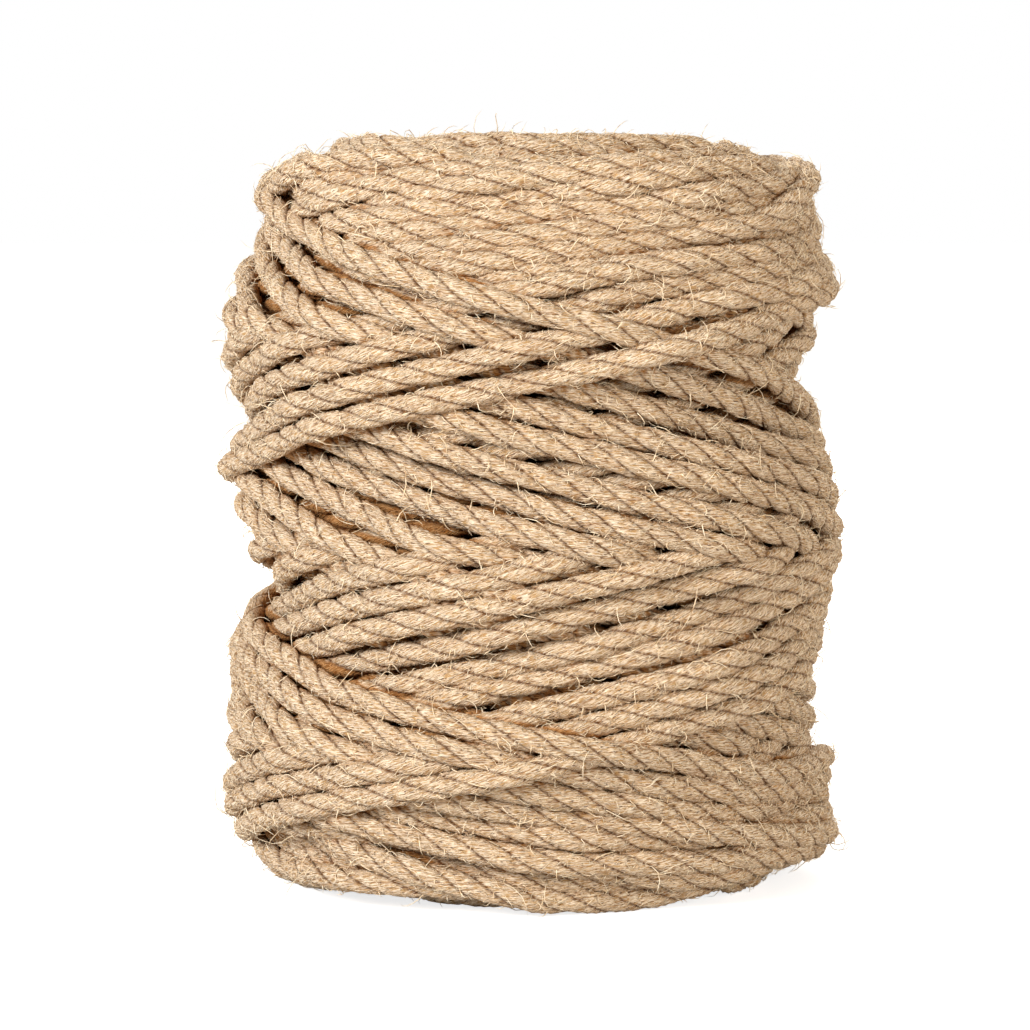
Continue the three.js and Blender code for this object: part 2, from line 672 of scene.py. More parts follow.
@dataclass
class RopeCourses:
    """The stretches of the wound rope that can be seen, as meshes."""

    rope: Rope
    path: Path
    seen_depth: dict[Side, float] = field(
        default_factory=lambda: {Side.OUTSIDE: 2.0, Side.BORE: 0.5, Side.CROWN: 1.2, Side.FOOT: 0.8}
    )
    finely_seen: tuple[Side, ...] = (Side.OUTSIDE, Side.CROWN)
    spare_samples: int = 3
    longest_gap: int = 8
    shortest: int = 8
    longest: int = 720
    triangles_in_a_mesh: int = 170_000
    # How far and over how many degrees the outer end dives under the surface.
    tuck_depth: float = 7.0
    tuck_degrees: int = 26
    # The fibre patterns of neighbouring strands lie this far apart.
    strand_shift: float = 137.0
    cap_step: float = 0.5
    fewest_rings: int = 3
    # Rope this far below the surface is marked with the full depth.
    full_depth: float = 8.0
    seed: int = 11
    sights: dict[Side, Sight] = field(init=False)

    def __post_init__(self) -> None:
        """Tucks the outer end in, looks at the roll from all four sides and lays the rope's unevenness."""
        dive = np.linspace(0, 1, self.tuck_degrees)
        self.path.radius[-self.tuck_degrees :] -= self.tuck_depth * dive**2 * (3 - 2 * dive)
        self.sights = {side: Sight(side, self.rope) for side in Side}
        for sight in self.sights.values():
            sight.look_at(self.path)
        rng = np.random.default_rng(self.seed)
        self.distance = self.path.distances()
        drift = self._wander(rng, self.rope.lay_spacing, self.rope.lay_change)
        self.twist = FULL_TURN * self.distance / self.rope.lay + drift
        spacing, change = self.rope.thickness_spacing, self.rope.thickness_change
        self.thickness = np.stack([self._wander(rng, spacing, change) for _ in range(self.rope.strands)], 1)

    def _wander(self, rng: np.random.Generator, spacing: float, change: float) -> np.ndarray:
        """Makes a slow random change along the whole rope.

        Args:
            rng: Source of the change.
            spacing: Length of rope from one random value to the next.
            change: Their usual size.

        Returns:
            The change at each sample of the path.
        """
        knots = rng.normal(0, change, int(self.distance[-1] / spacing) + 3)
        return np.interp(self.distance / spacing, np.arange(len(knots)), knots)

    def _runs(self, seen: np.ndarray) -> list[tuple[int, int]]:
        """Finds the runs of samples that are seen, a little longer at both ends and with no short gaps.

        Args:
            seen: Whether each sample is seen.

        Returns:
            First and last sample of each run.
        """
        changes = np.flatnonzero(np.diff(np.concatenate([[0], seen.astype(int), [0]])))
        found: list[tuple[int, int]] = []
        for first, after in changes.reshape(-1, 2):
            start = max(first - self.spare_samples, 0)
            end = min(after - 1 + self.spare_samples, len(seen) - 1)
            if found and start - found[-1][1] <= self.longest_gap:
                found[-1] = (found[-1][0], end)
            else:
                found.append((start, end))
        return [(start, end) for start, end in found if end - start >= self.shortest]

    def stretches(self) -> list[tuple[int, int, Detail]]:
        """Finds the stretches that can be seen.

        Returns:
            First and last sample of each, and how finely it is shaped. Where the fineness changes and
            after the longest length that one may have, the next one starts at the sample where it ends.
        """
        seen = {side: sight.shows(self.path, self.seen_depth[side]) for side, sight in self.sights.items()}
        fine = np.zeros(len(self.distance), bool)
        for start, end in self._runs(np.logical_or.reduce([seen[side] for side in self.finely_seen])):
            fine[start : end + 1] = True
        found: list[tuple[int, int, Detail]] = []
        for start, end in self._runs(fine | np.logical_or.reduce(list(seen.values()))):
            changes = (np.flatnonzero(np.diff(fine[start : end + 1].astype(int))) + start).tolist()
            cuts = range(start + self.longest, end - self.shortest, self.longest)
            edges = sorted({start, end, *changes, *cuts})
            for first, last in zip(edges[:-1], edges[1:]):
                detail = Detail.FINE if fine[(first + last + 1) // 2] else Detail.PLAIN
                found.append((first, last, detail))
        return found

    def _add_stretch(self, shape: Shape, start: int, end: int, section: Section) -> None:
        """Adds one stretch of rope to a shape.

        Args:
            shape: What the stretch is added to.
            start: The stretch's first sample.
            end: Its last sample.
            section: How finely it is shaped.
        """
        rope = self.rope
        sample = slice(start, end + 1)
        distance = self.distance[sample]
        count = max(int(round((distance[-1] - distance[0]) / section.ring_spacing)) + 1, self.fewest_rings)
        along = np.linspace(distance[0], distance[-1], count)
        radius = np.interp(along, distance, self.path.radius[sample])
        turned = np.radians(np.interp(along, distance, self.path.azimuth[sample]))
        outward = np.stack([np.sin(turned), -np.cos(turned), np.zeros(count)], 1)
        middle = outward * radius[:, None]
        middle[:, 2] = np.interp(along, distance, self.path.height[sample])
        tangent = np.gradient(middle, axis=0)
        tangent /= np.linalg.norm(tangent, axis=1)[:, None]
        up = outward - (outward * tangent).sum(1)[:, None] * tangent
        up /= np.linalg.norm(up, axis=1)[:, None]
        beside = np.cross(tangent, up)

        angle, distance_out, groove = rope.outline(section)
        round_it = np.interp(along, distance, self.twist[sample])[:, None] + angle[None, :]
        strands = [np.interp(along, distance, self.thickness[sample, each]) for each in range(rope.strands)]
        thicker = np.repeat(np.stack(strands, 1), len(section.corners), axis=1)
        thicker = (thicker + np.roll(thicker, 1, axis=1)) / 2
        out = distance_out[None, :] * (1 + thicker)
        rings = (
            middle[:, None, :]
            + (rope.flattening * out * np.cos(round_it))[:, :, None] * up[:, None, :]
            + (out * np.sin(round_it))[:, :, None] * beside[:, None, :]
        )
        rings[:, :, 2] = np.maximum(rings[:, :, 2], 0)
        self._add_rings(shape, rings, middle, tangent, along, round_it, groove)

    def _add_rings(
        self,
        shape: Shape,
        rings: np.ndarray,
        middle: np.ndarray,
        tangent: np.ndarray,
        along: np.ndarray,
        round_it: np.ndarray,
        groove: np.ndarray,
    ) -> None:
        """Joins the rings of one stretch into faces and closes its two ends.

        Args:
            shape: What the faces are added to.
            rings: The corners of each ring.
            middle: The middle of each ring.
            tangent: Direction of the rope at each ring.
            along: Length of rope before each ring.
            round_it: Angle round the rope of each corner.
            groove: How far into a groove each corner lies.
        """
        count, corners = rings.shape[:2]
        number = shape.size + np.arange(count * corners).reshape(count, corners)
        after = np.roll(number, -1, axis=1)
        quads = np.stack([number[:-1], after[:-1], after[1:], number[1:]], -1).reshape(-1, 4)
        start_cap, end_cap = shape.size + count * corners, shape.size + count * corners + 1
        start_fan = np.stack([after[0], number[0], np.full(corners, start_cap)], -1)
        end_fan = np.stack([number[-1], after[-1], np.full(corners, end_cap)], -1)

        shift = self.strand_shift * (np.arange(corners) // (corners // self.rope.strands))
        closed = np.concatenate([round_it, round_it[:, :1] + FULL_TURN], axis=1) * self.rope.radius
        left, right = closed[:, :-1] + shift, closed[:, 1:] + shift
        lines = np.broadcast_to(along[:, None], (count, corners))
        sides = (
            (lines[:-1], left[:-1]),
            (lines[:-1], right[:-1]),
            (lines[1:], right[1:]),
            (lines[1:], left[1:]),
        )
        quad_places = np.stack([np.stack(pair, -1) for pair in sides], 2).reshape(-1, 2)
        cap_corners = 3 * corners
        cap_places = np.stack([np.zeros(cap_corners), np.arange(cap_corners) * self.cap_step], -1)

        shape.points += [rings.reshape(-1, 3), middle[[0, -1]]]
        shape.middles += [np.repeat(middle, corners, axis=0), middle[[0, -1]]]
        shape.tangents += [np.repeat(tangent, corners, axis=0), tangent[[0, -1]]]
        shape.faces += [quads, start_fan, end_fan]
        shape.fibre_places += [quad_places, cap_places, cap_places]
        shape.marks.append(np.concatenate([np.tile(groove, count), [1.0, 1.0]]))
        shape.size += count * corners + 2
        shape.triangles += 2 * count * corners

    def shapes(self) -> list[Shape]:
        """Builds all stretches, oldest first, in shapes of a handy size.

        Returns:
            The shapes.
        """
        found = [Shape()]
        for start, end, detail in self.stretches():
            if found[-1].triangles > self.triangles_in_a_mesh:
                found.append(Shape())
            self._add_stretch(found[-1], start, end, detail.value)
        return found

    def build(self, shape: Shape, name: str) -> bpy.types.Object:
        """Makes one shape into an object.

        Args:
            shape: The shape.
            name: The object's name.

        Returns:
            The new object.
        """
        points = np.concatenate(shape.points)
        depth = np.minimum.reduce([sight.depth_of(points) for sight in self.sights.values()])
        marks = np.stack([np.concatenate(shape.marks), np.clip(depth / self.full_depth, 0, 1)], -1)
        fibre_places = np.concatenate(shape.fibre_places)
        return mesh_object(name, points, shape.faces, {"fibres": fibre_places}, {"place": marks})


def mesh_object(
    name: str,
    points: np.ndarray,
    faces: list[np.ndarray],
    face_maps: dict[str, np.ndarray],
    point_maps: dict[str, np.ndarray],
) -> bpy.types.Object:
    """Makes an object from arrays.

    Args:
        name: The object's name.
        points: Its points in millimetres.
        faces: Arrays of faces, each with one face in a row.
        face_maps: UV maps by name, with a row for each corner of each face.
        point_maps: UV maps by name, with a row for each point.

    Returns:
        The new object, with smooth faces.
    """
    corners = np.concatenate([part.ravel() for part in faces])
    totals = np.concatenate([np.full(len(part), part.shape[1]) for part in faces])
    mesh = bpy.data.meshes.new(name)
    mesh.vertices.add(len(points))
    mesh.vertices.foreach_set("co", (points * METRES_IN_MILLIMETRE).astype(np.float32).ravel())
    mesh.loops.add(len(corners))
    mesh.loops.foreach_set("vertex_index", corners.astype(np.int32))
    mesh.polygons.add(len(totals))
    mesh.polygons.foreach_set("loop_start", np.concatenate([[0], np.cumsum(totals)[:-1]]).astype(np.int32))
    mesh.polygons.foreach_set("use_smooth", np.ones(len(totals), bool))
    corner_maps = {**face_maps, **{key: rows[corners] for key, rows in point_maps.items()}}
    for map_name, rows in corner_maps.items():
        layer = mesh.uv_layers.new(name=map_name, do_init=False)
        layer.uv.foreach_set("vector", rows.astype(np.float32).ravel())
    mesh.update(calc_edges=True)
    mesh.validate()
    made = bpy.data.objects.new(name, mesh)
    bpy.context.scene.collection.objects.link(made)
    return made


@dataclass
class Hairs:
    """Fine hairs that have come loose from the rope and curl over it."""

    name: str
    count: int
    knots: int
    thickness: float
    usual_length: float
    length_spread: float
    longest: float
    # How steeply a hair rises at its root, and how much less it rises at each knot after that.
    lift: tuple[float, float]
    settle: float
    # Usual turn at a knot, and usual angle between a hair's root and the rope, in radians.
    curl: float
    stray: float
    seed: int
    # Roots lie no deeper and no lower than this, and start this far inside the rope.
    root_depth: float = 1.3
    lowest_root: float = 1.0
    root_sunk: float = 0.2
    root_spread: float = 1.0
    # Closer than this to the rope's middle, the outward direction isn't trusted.
    surest_radius: float = 0.5
    curl_steadiness: float = 3.0
    rise_change: float = 0.15
    corners: int = 3
    tip_share: float = 0.55
    floor_gap: float = 0.05
    # Where on the fibre pattern each hair starts, and how far apart its corners lie there.
    pattern_step: float = 3.7
    pattern_repeat: float = 97.0
    corner_step: float = 0.1

    def build(self, shapes: list[Shape], sights: dict[Side, Sight]) -> bpy.types.Object:
        """Grows the hairs from the rope's outermost points.

        Args:
            shapes: The rope's shapes.
            sights: What can be seen from each side.

        Returns:
            The new object.
        """
        rng = np.random.default_rng(self.seed)
        points = np.concatenate([part for shape in shapes for part in shape.points])
        middles = np.concatenate([part for shape in shapes for part in shape.middles])
        tangents = np.concatenate([part for shape in shapes for part in shape.tangents])
        outer = [sights[side].depth_of(points) for side in (Side.OUTSIDE, Side.CROWN)]
        near = np.minimum.reduce(outer) < self.root_depth
        bare = np.flatnonzero(near & (points[:, 2] > self.lowest_root))
        roots = rng.choice(bare, self.count, replace=False)
        normal = points[roots] - middles[roots]
        size = np.linalg.norm(normal, axis=1)[:, None]
        sure = size > self.surest_radius
        normal = np.where(sure, normal / np.maximum(size, self.surest_radius), (0.0, 0.0, 1.0))
        aside = rng.uniform(-self.root_spread, self.root_spread, self.count)[:, None] * tangents[roots]
        start = points[roots] - self.root_sunk * normal + aside
        return self._mesh(self._lines(start, normal, tangents[roots], rng))

    def _lines(
        self, start: np.ndarray, normal: np.ndarray, tangent: np.ndarray, rng: np.random.Generator
    ) -> np.ndarray:
        """Lets each hair rise from its root, curl, and settle back.

        Args:
            start: The roots.
            normal: Direction away from the rope at each root.
            tangent: Direction of the rope there.
            rng: Source of the curls.

        Returns:
            The knots of each hair.
        """
        length = np.exp(rng.normal(math.log(self.usual_length), self.length_spread, self.count))
        step = np.minimum(length, self.longest)[:, None] / (self.knots - 1)
        beside = np.cross(normal, tangent)
        bearing = rng.normal(0, self.stray, self.count) + math.pi * rng.integers(0, 2, self.count)
        bend = rng.normal(0, self.curl, self.count)
        rise = rng.uniform(*self.lift, self.count)
        knots = [start]
        for _ in range(self.knots - 1):
            level = np.cos(bearing)[:, None] * tangent + np.sin(bearing)[:, None] * beside
            heading = level + rise[:, None] * normal
            heading /= np.linalg.norm(heading, axis=1)[:, None]
            knots.append(knots[-1] + heading * step)
            bend = bend + rng.normal(0, self.curl / self.curl_steadiness, self.count)
            bearing = bearing + bend
            rise = rise - self.settle + rng.normal(0, self.rise_change, self.count)
        return np.stack(knots, 1)

    def _mesh(self, lines: np.ndarray) -> bpy.types.Object:
        """Gives each hair a three-cornered section that thins to a point.

        Args:
            lines: The knots of each hair.

        Returns:
            The new object.
        """
        along = np.gradient(lines, axis=1)
        along /= np.linalg.norm(along, axis=2)[:, :, None]
        aside = np.cross(along, ODD_DIRECTION)
        aside /= np.linalg.norm(aside, axis=2)[:, :, None]
        other = np.cross(along, aside)
        angles = FULL_TURN * np.arange(self.corners) / self.corners
        rings = self.knots - 1
        thin = (np.linspace(1.0, self.tip_share, rings) * self.thickness / 2)[None, :, None, None]
        first_way = np.cos(angles)[None, None, :, None] * aside[:, :-1, None, :]
        other_way = np.sin(angles)[None, None, :, None] * other[:, :-1, None, :]
        body = lines[:, :-1, None, :] + thin * (first_way + other_way)
        tip = rings * self.corners
        per_hair = tip + 1
        points = np.concatenate([body.reshape(self.count, -1, 3), lines[:, -1:, :]], axis=1).reshape(-1, 3)
        points[:, 2] = np.maximum(points[:, 2], self.floor_gap)
        number = np.arange(tip).reshape(rings, self.corners)
        after = np.roll(number, -1, axis=1)
        sides = np.stack([number[:-1], after[:-1], after[1:], number[1:]], -1).reshape(-1, 4)
        tips = np.stack([number[-1], after[-1], np.full(self.corners, tip)], -1)
        roots = number[:1, ::-1]
        first = (np.arange(self.count) * per_hair)[:, None, None]
        faces = [(part[None] + first).reshape(-1, part.shape[1]) for part in (sides, tips, roots)]
        start = np.repeat(np.arange(self.count) * self.pattern_step % self.pattern_repeat, per_hair)
        place = np.stack([start, np.tile(np.arange(per_hair) * self.corner_step, self.count)], -1)
        marks = np.zeros((len(points), 2))
        return mesh_object(self.name, points, faces, {}, {"fibres": place, "place": marks})


HAIRS = (
    Hairs(
        name="loose_hairs",
        count=5000,
        knots=6,
        thickness=0.27,
        usual_length=5.0,
        length_spread=0.45,
        longest=13.0,
        lift=(0.1, 0.5),
        settle=0.26,
        curl=0.38,
        stray=0.9,
        seed=23,
    ),
    Hairs(
        name="short_fuzz",
        count=19000,
        knots=3,
        thickness=0.25,
        usual_length=2.2,
        length_spread=0.35,
        longest=4.5,
        lift=(0.1, 0.6),
        settle=0.45,
        curl=0.8,
        stray=1.1,
        seed=29,
    ),
)


class Board:
    """A node tree, with short ways to place and join its nodes."""

    def __init__(self, tree: bpy.types.NodeTree) -> None:
        """Keeps the tree."""
        self.tree = tree

    def place(self, kind: str, values: dict[str, object] | None = None, **settings: object) -> bpy.types.Node:
        """Places a node.

        Args:
            kind: The node's type.
            values: For each of its inputs by name, a plain value or an output to join it to.
            settings: The node's own settings.

        Returns:
            The new node.
        """
        node = self.tree.nodes.new(kind)
        for name, value in settings.items():
            setattr(node, name, value)
        for name, value in (values or {}).items():
            key = int(name) if name.isdigit() else name
            self.set(node.inputs[key], value)
        return node

    def set(self, socket: bpy.types.NodeSocket, value: object) -> None:
        """Joins an input to an output, or gives it a plain value.

        Args:
            socket: The input.
            value: The output to join it to, or the value.
        """
        if isinstance(value, bpy.types.NodeSocket):
            self.tree.links.new(value, socket)
        else:
            socket.default_value = value

    def maths(self, operation: str, first: object, second: object = 0.0) -> bpy.types.NodeSocket:
        """Works out one number from two."""
        return self.place("ShaderNodeMath", {"0": first, "1": second}, operation=operation).outputs[0]

    def mix(self, share: object, first: object, second: object, blend: str = "MIX") -> bpy.types.NodeSocket:
        """Mixes two colours.

        Args:
            share: How much of the second one takes part.
            first: The first colour.
            second: The second colour.
            blend: How they are mixed.

        Returns:
            The mixed colour.
        """
        node = self.place("ShaderNodeMix", data_type="RGBA", blend_type=blend)
        self.set(node.inputs[0], share)
        self.set(node.inputs[6], first)
        self.set(node.inputs[7], second)
        return node.outputs[2]

    def ranged(
        self, value: object, source: tuple[float, float], target: tuple[float, float]
    ) -> bpy.types.NodeSocket:
        """Carries a value from one range to another and keeps it there.

        Args:
            value: The value.
            source: The range it comes from.
            target: The range it goes to.

        Returns:
            The new value.
        """
        values = {
            "Value": value,
            "From Min": source[0],
            "From Max": source[1],
            "To Min": target[0],
            "To Max": target[1],
        }
        return self.place("ShaderNodeMapRange", values).outputs["Result"]

    def noise(self, at: object, scale: float, detail: float, roughness: float = 0.5) -> bpy.types.NodeSocket:
        """Places an even noise."""
        values = {"Vector": at, "Scale": scale, "Detail": detail, "Roughness": roughness}
        return self.place("ShaderNodeTexNoise", values).outputs["Fac"]


def new_group(name: str, inputs: dict[str, str], outputs: dict[str, str]) -> bpy.types.NodeTree:
    """Starts a shader node group.

    Args:
        name: Its name.
        inputs: Socket types by input name.
        outputs: Socket types by output name.

    Returns:
        The group, with nothing in it.
    """
    group = bpy.data.node_groups.new(name, "ShaderNodeTree")
    for socket, kind in inputs.items():
        group.interface.new_socket(name=socket, in_out="INPUT", socket_type=kind)
    for socket, kind in outputs.items():
        group.interface.new_socket(name=socket, in_out="OUTPUT", socket_type=kind)
    return group


@dataclass(frozen=True)
class StreakLayer:
    """One layer of streaks: how many times finer than a fibre it is each way, and a number of its own."""

    finer_along: float
    finer_across: float
    number: float


class FibrePattern:
    """The group that draws the fine fibres of jute."""

    streaks = StreakLayer(1.0, 1.0, 0.0)
    yarns = StreakLayer(0.35, 0.33, 11.0)
    dark_flecks = StreakLayer(1.3, 0.7, 23.0)
    pale_flecks = StreakLayer(1.7, 0.8, 37.0)
    tone = StreakLayer(0.07, 0.03, 53.0)
    dark_fleck_edge = (0.58, 0.66)
    pale_fleck_edge = (0.58, 0.66)
    noise_detail = 2.0
    noise_roughness = 0.6

    def __init__(self) -> None:
        """Builds the group."""
        numbers = ("Fibre length", "Fibre width", "Slant")
        self.group = new_group(
            "Jute fibres",
            {"Place": "NodeSocketVector", **{name: "NodeSocketFloat" for name in numbers}},
            {name: "NodeSocketFloat" for name in ("Streaks", "Yarns", "Dark flecks", "Pale flecks", "Tone")},
        )
        board = Board(self.group)
        given = board.place("NodeGroupInput").outputs
        split = board.place("ShaderNodeSeparateXYZ", {"Vector": given["Place"]}).outputs
        lean = board.maths("MULTIPLY", split["X"], given["Slant"])
        along = board.maths("DIVIDE", split["X"], given["Fibre length"])
        across = board.maths("DIVIDE", board.maths("ADD", split["Y"], lean), given["Fibre width"])
        astray = board.maths("DIVIDE", board.maths("SUBTRACT", split["Y"], lean), given["Fibre width"])
        dark_flecks = self._streaks(board, along, across, self.dark_flecks)
        pale_flecks = self._streaks(board, along, astray, self.pale_flecks)
        values = {
            "Streaks": self._streaks(board, along, across, self.streaks),
            "Yarns": self._streaks(board, along, across, self.yarns),
            "Dark flecks": board.ranged(dark_flecks, self.dark_fleck_edge, (0.0, 1.0)),
            "Pale flecks": board.ranged(pale_flecks, self.pale_fleck_edge, (0.0, 1.0)),
            "Tone": self._streaks(board, along, across, self.tone),
        }
        board.place("NodeGroupOutput", values)

    def _streaks(
        self, board: Board, along: bpy.types.NodeSocket, across: bpy.types.NodeSocket, layer: StreakLayer
    ) -> bpy.types.NodeSocket:
        """Places one layer of streaks.

        Args:
            board: The group's board.
            along: Place along the fibres.
            across: Place across the fibres.
            layer: The layer.

        Returns:
            The streaks, as an even noise.
        """
        x = board.maths("MULTIPLY", along, layer.finer_along)
        y = board.maths("MULTIPLY", across, layer.finer_across)
        place = board.place("ShaderNodeCombineXYZ", {"X": x, "Y": y, "Z": layer.number}).outputs[0]
        return board.noise(place, 1.0, self.noise_detail, self.noise_roughness)


class JuteColour:
    """The group that colours jute by its fibres, and paints shade into its grooves and deeper in the roll."""

    masks = ("Streaks", "Yarns", "Dark flecks", "Pale flecks", "Tone", "Groove", "Depth")
    colours = ("Pale", "Middle", "Dark", "Fleck_and_painted_groove_shade", "Straw", "Shade")
    # The range of each mask over which its colour sets in, and the largest share that it takes.
    straw_tones = (0.42, 0.6)
    straw_share = 0.45
    pale_streaks = (0.42, 0.58)
    dark_yarns = (0.32, 0.50)
    dark_share = 0.6
    dark_fleck_share = 0.9
    pale_fleck_share = 0.8
    # Painted shade in a groove shows fully between yarns, and less where fibres lie over it.
    bridged_yarns = (0.35, 0.6)
    bridged_share = 0.35
    groove_shade_edge = (0.35, 0.85)
    shaded_depths = (0.04, 0.4)

    def __init__(self) -> None:
        """Builds the group."""
        inputs = {name: "NodeSocketFloat" for name in self.masks}
        inputs.update({name: "NodeSocketColor" for name in self.colours})
        self.group = new_group("Jute colour", inputs, {"Colour": "NodeSocketColor"})
        board = Board(self.group)
        given = board.place("NodeGroupInput").outputs
        straw = board.ranged(given["Tone"], self.straw_tones, (0.0, self.straw_share))
        body = board.mix(straw, given["Middle"], given["Straw"])
        body = board.mix(board.ranged(given["Streaks"], self.pale_streaks, (0.0, 1.0)), body, given["Pale"])
        dark = board.ranged(given["Yarns"], self.dark_yarns, (self.dark_share, 0.0))
        body = board.mix(dark, body, given["Dark"])
        dark_flecks = board.maths("MULTIPLY", given["Dark flecks"], self.dark_fleck_share)
        body = board.mix(dark_flecks, body, given["Fleck_and_painted_groove_shade"])
        pale_flecks = board.maths("MULTIPLY", given["Pale flecks"], self.pale_fleck_share)
        body = board.mix(pale_flecks, body, given["Pale"])
        # Painted shade: the grooves between strands are darkened towards the fleck colour, less where yarns
        # bridge them.
        open_share = board.ranged(given["Yarns"], self.bridged_yarns, (1.0, self.bridged_share))
        groove = board.ranged(given["Groove"], self.groove_shade_edge, (0.0, 1.0))
        body = board.mix(board.maths("MULTIPLY", groove, open_share), body, given["Fleck_and_painted_groove_shade"])
        # Painted shade: rope deeper in the roll is multiplied by the shade colour.
        shaded = board.ranged(given["Depth"], self.shaded_depths, (0.0, 1.0))
        body = board.mix(shaded, body, given["Shade"], "MULTIPLY")
        board.place("NodeGroupOutput", {"Colour": body})


@dataclass(frozen=True)
class JuteFinish:
    """A finish of natural jute."""

    name: str
    pale: Colour
    middle: Colour
    dark: Colour
    # Colour of the dark flecks, and of the painted shade in the grooves between strands.
    fleck_and_painted_groove_shade: Colour
    straw: Colour
    # Tint multiplied in as painted shade on rope lying deeper in the roll.
    shade: Colour
    fibre_length: float = 2.0
    fibre_width: float = 0.26
    slant: float = 0.22
    rough_low: float = 0.7
    rough_high: float = 0.95
    rough_streaks: tuple[float, float] = (0.3, 0.7)
    relief: float = 0.0008
    sheen: float = 0.05
    sheen_roughness: float = 0.5
    specular_level: float = 0.1

    def make(self, fibres: FibrePattern, colour: JuteColour) -> bpy.types.Material:
        """Builds the material.

        Args:
            fibres: The group that draws the fibres.
            colour: The group that colours them.

        Returns:
            The material.
        """
        material = bpy.data.materials.new(self.name)
        material.use_nodes = True
        board = Board(material.node_tree)
        board.tree.nodes.clear()
        place = board.place("ShaderNodeUVMap", uv_map="fibres").outputs["UV"]
        marks = board.place("ShaderNodeUVMap", uv_map="place").outputs["UV"]
        mark = board.place("ShaderNodeSeparateXYZ", {"Vector": marks}).outputs
        pattern = board.place("ShaderNodeGroup", node_tree=fibres.group)
        board.set(pattern.inputs["Place"], place)
        board.set(pattern.inputs["Fibre length"], self.fibre_length)
        board.set(pattern.inputs["Fibre width"], self.fibre_width)
        board.set(pattern.inputs["Slant"], self.slant)
        tint = board.place("ShaderNodeGroup", node_tree=colour.group)
        for mask in ("Streaks", "Yarns", "Dark flecks", "Pale flecks", "Tone"):
            board.set(tint.inputs[mask], pattern.outputs[mask])
        board.set(tint.inputs["Groove"], mark["X"])
        board.set(tint.inputs["Depth"], mark["Y"])
        for name in colour.colours:
            board.set(tint.inputs[name], getattr(self, name.lower()))
        relief = board.maths("ADD", pattern.outputs["Streaks"], pattern.outputs["Yarns"])
        bump = board.place("ShaderNodeBump", {"Strength": 1.0, "Distance": self.relief, "Height": relief})
        roughness = board.ranged(
            pattern.outputs["Streaks"], self.rough_streaks, (self.rough_high, self.rough_low)
        )
        shader = board.place(
            "ShaderNodeBsdfPrincipled",
            {
                "Base Color": tint.outputs["Colour"],
                "Roughness": roughness,
                "Normal": bump.outputs["Normal"],
                "Specular IOR Level": self.specular_level,
                "Sheen Weight": self.sheen,
                "Sheen Roughness": self.sheen_roughness,
                "Sheen Tint": self.pale,
            },
        )
        board.place("ShaderNodeOutputMaterial", {"Surface": shader.outputs["BSDF"]})
        return material


ROPE_FINISH = JuteFinish(
    name="Jute rope",
    pale=(0.94, 0.80, 0.64, 1.0),
    middle=(0.50, 0.305, 0.14, 1.0),
    dark=(0.28, 0.12, 0.038, 1.0),
    fleck_and_painted_groove_shade=(0.10, 0.034, 0.010, 1.0),
    straw=(0.62, 0.36, 0.14, 1.0),
    shade=(0.66, 0.42, 0.22, 1.0),
)
HAIR_FINISH = JuteFinish(
    name="Jute hairs",
    pale=(0.95, 0.85, 0.68, 1.0),
    middle=(0.86, 0.70, 0.50, 1.0),
    dark=(0.55, 0.36, 0.19, 1.0),
    fleck_and_painted_groove_shade=(0.40, 0.22, 0.10, 1.0),
    straw=(0.85, 0.62, 0.34, 1.0),
    shade=(0.80, 0.62, 0.42, 1.0),
    relief=0.00002,
)


@dataclass(frozen=True)
class SoftLight:
    """A soft round light that points at the roll. Lengths are metres and power is watts."""

    name: str
    place: Place
    size: float
    power: float
    colour: tuple[float, float, float]

    def hang(self, aim_height: float) -> None:
        """Hangs the light.

        Args:
            aim_height: Height on the roll's axis to which it points.
        """
        light = bpy.data.lights.new(self.name, "AREA")
        light.shape = "DISK"
        light.size = self.size
        light.energy = self.power
        light.color = self.colour
        lamp = bpy.data.objects.new(self.name, light)
        lamp.location = self.place
        aim = Vector((0, 0, aim_height)) - lamp.location
        lamp.rotation_euler = aim.to_track_quat("-Z", "Y").to_euler()
        bpy.context.scene.collection.objects.link(lamp)


LIGHTS = (
    SoftLight(name="key_light", place=(-1.2, -1.15, 0.75), size=0.6, power=36.0, colour=(1.0, 0.98, 0.94)),
    SoftLight(name="fill_light", place=(1.0, -1.4, 0.35), size=1.0, power=18.0, colour=(1.0, 0.9, 0.75)),
    SoftLight(name="back_light", place=(0.3, 1.6, 0.9), size=1.0, power=26.0, colour=(1.0, 0.98, 0.94)),
)


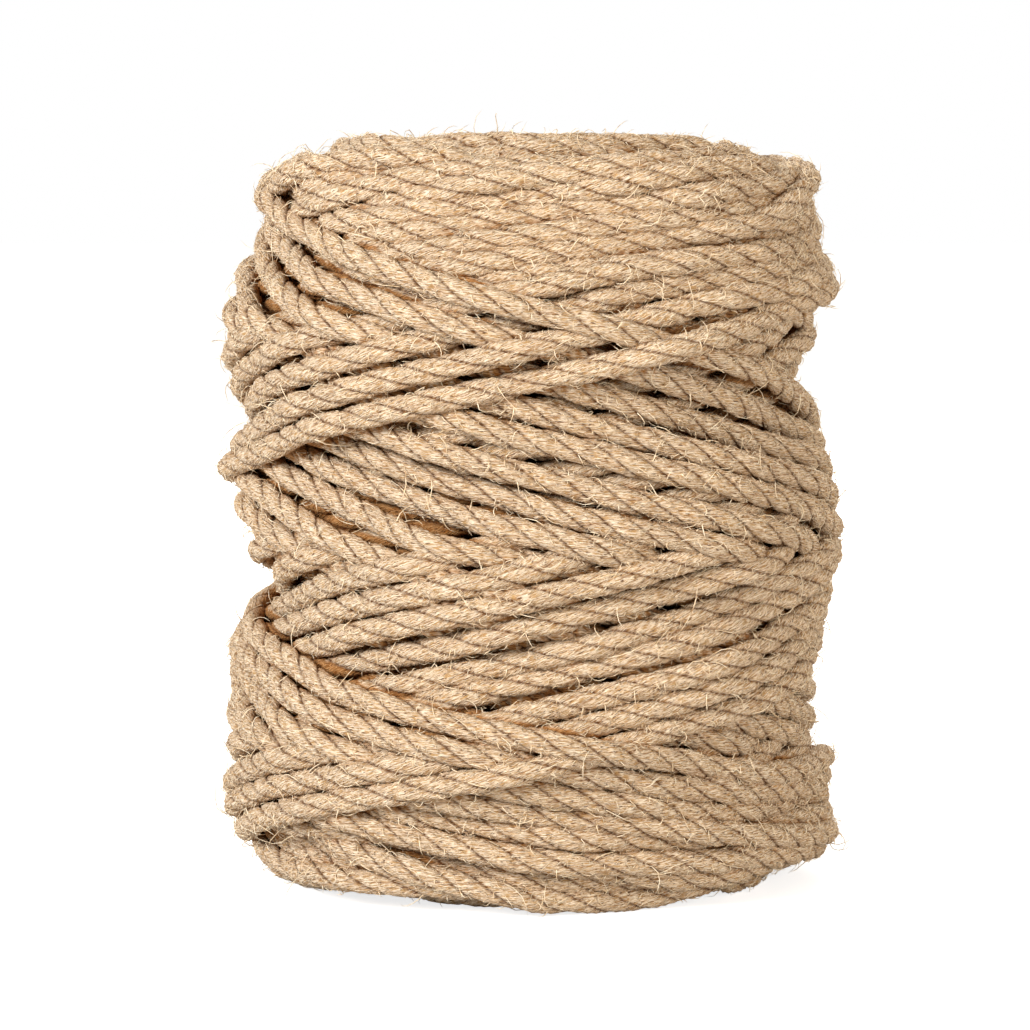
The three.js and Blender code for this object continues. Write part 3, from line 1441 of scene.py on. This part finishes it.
@dataclass
class Studio:
    """The white floor, the surround and the camera. Lengths are metres."""

    floor_reach: float = 30.0
    floor_colour: Colour = (0.7, 0.7, 0.7, 1.0)
    floor_lift: float = 0.78
    surround: float = 0.46
    surround_colour: Colour = (1.0, 0.91, 0.79, 1.0)
    white: Colour = (1.0, 1.0, 1.0, 1.0)
    aim_height: float = 0.08
    camera_distance: float = 0.9
    camera_height: float = 0.147
    camera_pitch: float = 4.15
    # The picture is 1030 pixels wide, 4000 pixels of it make one radian, and the axis stands at pixel 530.
    frame_pixels: float = 1030.0
    focal_pixels: float = 4000.0
    axis_pixel: float = 530.0
    sensor_width: float = 36.0

    def build_floor(self) -> bpy.types.Object:
        """Builds the floor. To the camera it is a little lighter than it is to the roll.

        Returns:
            The floor.
        """
        reach = self.floor_reach / METRES_IN_MILLIMETRE
        corners = reach * np.array([(-1.0, -1.0, 0.0), (1.0, -1.0, 0.0), (1.0, 1.0, 0.0), (-1.0, 1.0, 0.0)])
        floor = mesh_object("studio_floor", corners, [np.array([[0, 1, 2, 3]])], {}, {})
        material = bpy.data.materials.new("Studio white")
        material.use_nodes = True
        board = Board(material.node_tree)
        board.tree.nodes.clear()
        matt = board.place("ShaderNodeBsdfDiffuse", {"Color": self.floor_colour})
        to_camera = board.place("ShaderNodeLightPath").outputs["Is Camera Ray"]
        lift = board.maths("MULTIPLY", to_camera, self.floor_lift)
        glow = board.place("ShaderNodeEmission", {"Strength": lift})
        both = board.place("ShaderNodeAddShader", {"0": matt.outputs["BSDF"], "1": glow.outputs["Emission"]})
        board.place("ShaderNodeOutputMaterial", {"Surface": both.outputs["Shader"]})
        floor.data.materials.append(material)
        return floor

    def light(self) -> None:
        """Hangs the lights, fills in from all round and makes the backdrop white."""
        for light in LIGHTS:
            light.hang(self.aim_height)
        world = bpy.data.worlds.new("Studio surround")
        world.use_nodes = True
        board = Board(world.node_tree)
        board.tree.nodes.clear()
        to_camera = board.place("ShaderNodeLightPath").outputs["Is Camera Ray"]
        strength = board.ranged(to_camera, (0.0, 1.0), (self.surround, 1.0))
        colour = board.mix(to_camera, self.surround_colour, self.white)
        glow = board.place("ShaderNodeBackground", {"Color": colour, "Strength": strength})
        board.place("ShaderNodeOutputWorld", {"Surface": glow.outputs["Background"]})
        bpy.context.scene.world = world
        bpy.context.scene.view_settings.view_transform = "Standard"

    def set_camera(self) -> bpy.types.Object:
        """Sets the camera up at the photograph's viewing angle.

        Returns:
            The camera.
        """
        data = bpy.data.cameras.new("photo_camera")
        data.sensor_width = self.sensor_width
        data.lens = self.focal_pixels / self.frame_pixels * self.sensor_width
        camera = bpy.data.objects.new("photo_camera", data)
        camera.location = (0.0, -self.camera_distance, self.camera_height)
        aside = (self.axis_pixel - self.frame_pixels / 2) / self.focal_pixels
        down = math.radians(self.camera_pitch)
        camera.rotation_euler = (math.pi / 2 - down, 0.0, math.atan(aside))
        bpy.context.scene.collection.objects.link(camera)
        bpy.context.scene.camera = camera
        return camera


def attach(piece: bpy.types.Object, material: bpy.types.Material) -> None:
    """Dresses a piece and sets it on the roll's body in place of the plain solid.

    Args:
        piece: The piece.
        material: Its finish.
    """
    piece.data.materials.append(material)
    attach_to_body(piece, CAD_BODY)
    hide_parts(CAD_NODE)
    piece.data.calc_loop_triangles()
    log.info("%s: %d triangles", piece.name, len(piece.data.loop_triangles))


def main() -> None:
    """Winds the rope, builds what shows of it, and sets up the studio."""
    logging.basicConfig(level=logging.INFO, format="%(message)s")
    rope = Rope()
    path = Winder(Guide()).wind()
    log.info("rope wound: %.1f m", path.distances()[-1] * METRES_IN_MILLIMETRE)
    fibres = FibrePattern()
    colour = JuteColour()
    rope_material = ROPE_FINISH.make(fibres, colour)
    hair_material = HAIR_FINISH.make(fibres, colour)
    courses = RopeCourses(rope, path)
    shapes = courses.shapes()
    for number, shape in enumerate(shapes, start=1):
        attach(courses.build(shape, f"rope_courses_{number}"), rope_material)
    for hairs in HAIRS:
        attach(hairs.build(shapes, courses.sights), hair_material)
    studio = Studio()
    studio.build_floor()
    studio.light()
    studio.set_camera()


if __name__ == "__main__":
    main()
